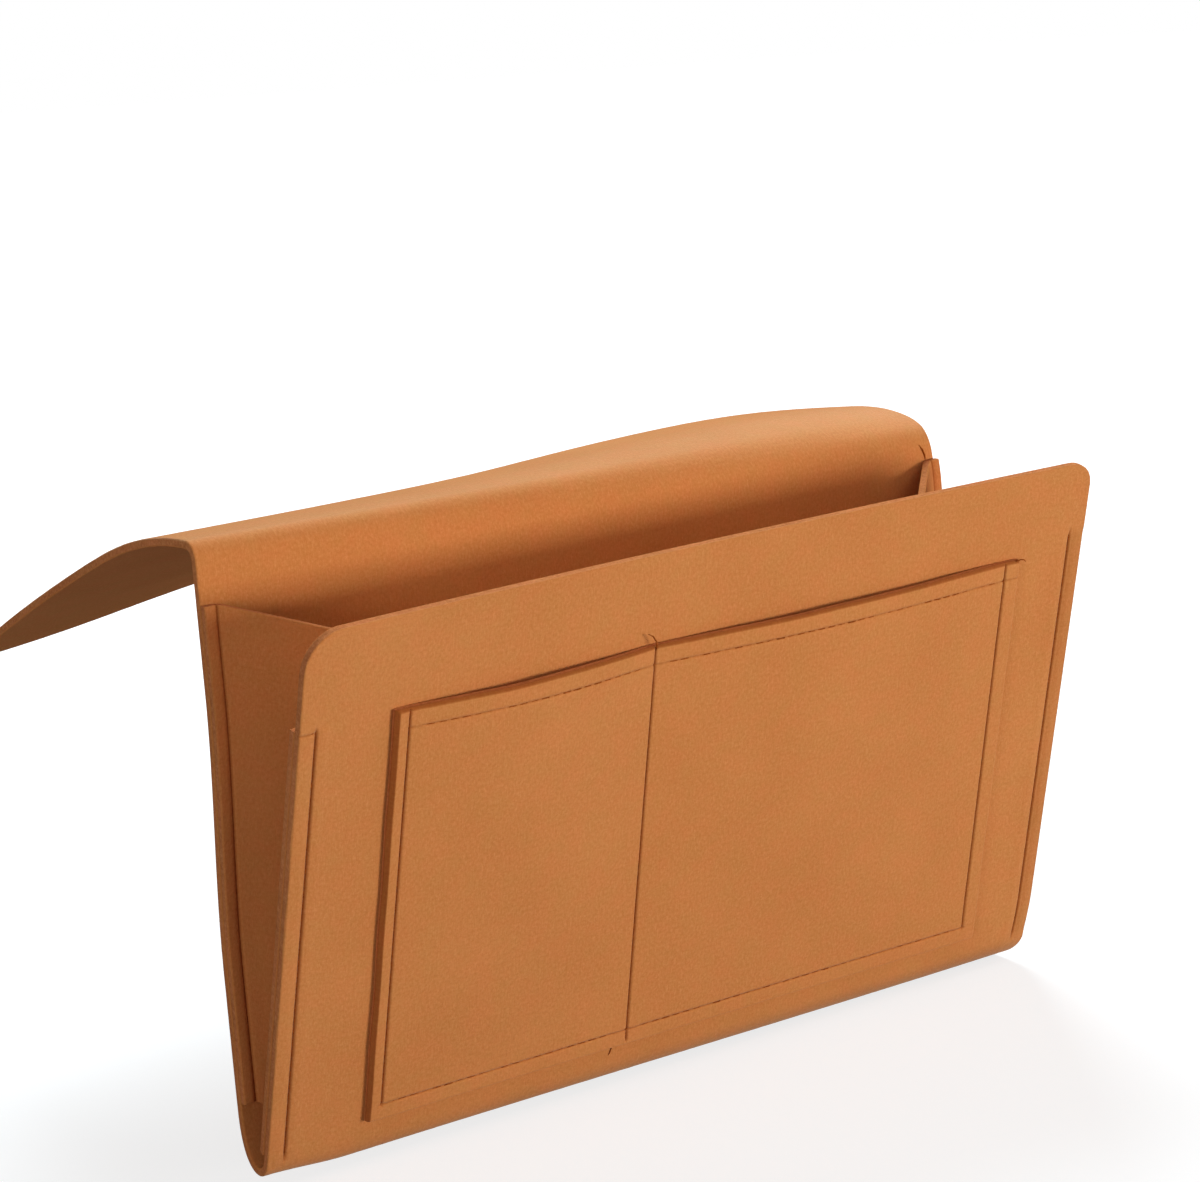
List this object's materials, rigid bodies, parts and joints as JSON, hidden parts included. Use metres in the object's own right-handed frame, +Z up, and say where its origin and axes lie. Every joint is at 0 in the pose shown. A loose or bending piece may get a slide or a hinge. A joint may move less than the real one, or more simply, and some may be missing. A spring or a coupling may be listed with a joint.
{
  "type": "bedside caddy",
  "caption": "Felt bedside caddy: a folded strip with a mattress flap, an open bag with bellows gussets, a divided front pocket and a divided inner pocket.",
  "frame": {"origin": "middle of the back panel's rear face, which rests against the side of the bed", "axes": "+X along the caddy's width to the reader's right, +Y out of the rear face towards the bed, +Z up"},
  "size_m": [0.33, 0.3001, 0.2217],
  "materials": {
    "felt": "thick matte wool felt, cut edges left raw",
    "thread": "matte sewing thread"
  },
  "bodies": {
    "back": {"back_panel": "felt", "flap_bend": "felt", "bottom_fold": "felt", "inner_pocket": "felt", "inner_pocket_left_seam": "thread", "inner_pocket_divider_seam": "thread", "inner_pocket_right_seam": "thread", "inner_pocket_bottom_seam": "thread", "inner_pocket_left_hem_seam": "thread", "inner_pocket_right_hem_seam": "thread", "left_gusset_back_hem": "felt", "left_gusset_back_seam": "thread", "right_gusset_back_hem": "felt", "right_gusset_back_seam": "thread"},
    "front": {"front_panel": "felt", "front_pocket": "felt", "front_pocket_left_seam": "thread", "front_pocket_divider_seam": "thread", "front_pocket_right_seam": "thread", "front_pocket_bottom_seam": "thread", "front_pocket_left_hem_seam": "thread", "front_pocket_right_hem_seam": "thread", "left_gusset_front_hem": "felt", "left_gusset_front_seam": "thread", "right_gusset_front_hem": "felt", "right_gusset_front_seam": "thread"},
    "flap": {"flap": "felt"},
    "left_back_leaf": {"left_gusset_back_leaf": "felt"},
    "left_front_leaf": {"left_gusset_front_leaf": "felt"},
    "right_back_leaf": {"right_gusset_back_leaf": "felt"},
    "right_front_leaf": {"right_gusset_front_leaf": "felt"}
  },
  "joints": [
    {"name": "flap_bend_hinge", "type": "hinge", "parent": "back", "child": "flap", "pos_m": [0, 0.0065, 0.094], "axis": [1, 0, 0], "range_deg": [-70, 80], "stiffness_Nm_per_rad": 0.5, "springref_deg": 7.45, "deforming": ["flap_bend"]},
    {"name": "front_fold_hinge", "type": "hinge", "parent": "back", "child": "front", "pos_m": [0, -0.02408, -0.10582], "axis": [0.9966, -0.0828, 0], "range_deg": [-10, 4], "stiffness_Nm_per_rad": 0.5, "springref_deg": -3.44},
    {"name": "left_back_leaf_fold", "type": "hinge", "parent": "back", "child": "left_back_leaf", "pos_m": [-0.1562, -0.0048, -0.0866], "axis": [0, 0, 1], "range_deg": [-8, 19]},
    {"name": "left_front_leaf_fold", "type": "hinge", "parent": "front", "child": "left_front_leaf", "pos_m": [-0.1562, -0.0083, -0.1037], "axis": [0, -0.2926, 0.9562], "range_deg": [-23, 9.5]},
    {"name": "right_back_leaf_fold", "type": "hinge", "parent": "back", "child": "right_back_leaf", "pos_m": [0.1562, -0.0048, -0.0866], "axis": [0, 0, 1], "range_deg": [-23, 9.5]},
    {"name": "right_front_leaf_fold", "type": "hinge", "parent": "front", "child": "right_front_leaf", "pos_m": [0.1562, -0.03407, -0.10395], "axis": [0, -0.2045, 0.9789], "range_deg": [-9.5, 23]}
  ],
  "couplings": [
    {"joint": "left_back_leaf_fold", "follows": "front_fold_hinge", "ratio": -1.8},
    {"joint": "left_front_leaf_fold", "follows": "front_fold_hinge", "ratio": 2.2},
    {"joint": "right_back_leaf_fold", "follows": "front_fold_hinge", "ratio": 2.2},
    {"joint": "right_front_leaf_fold", "follows": "front_fold_hinge", "ratio": -2.2}
  ]
}
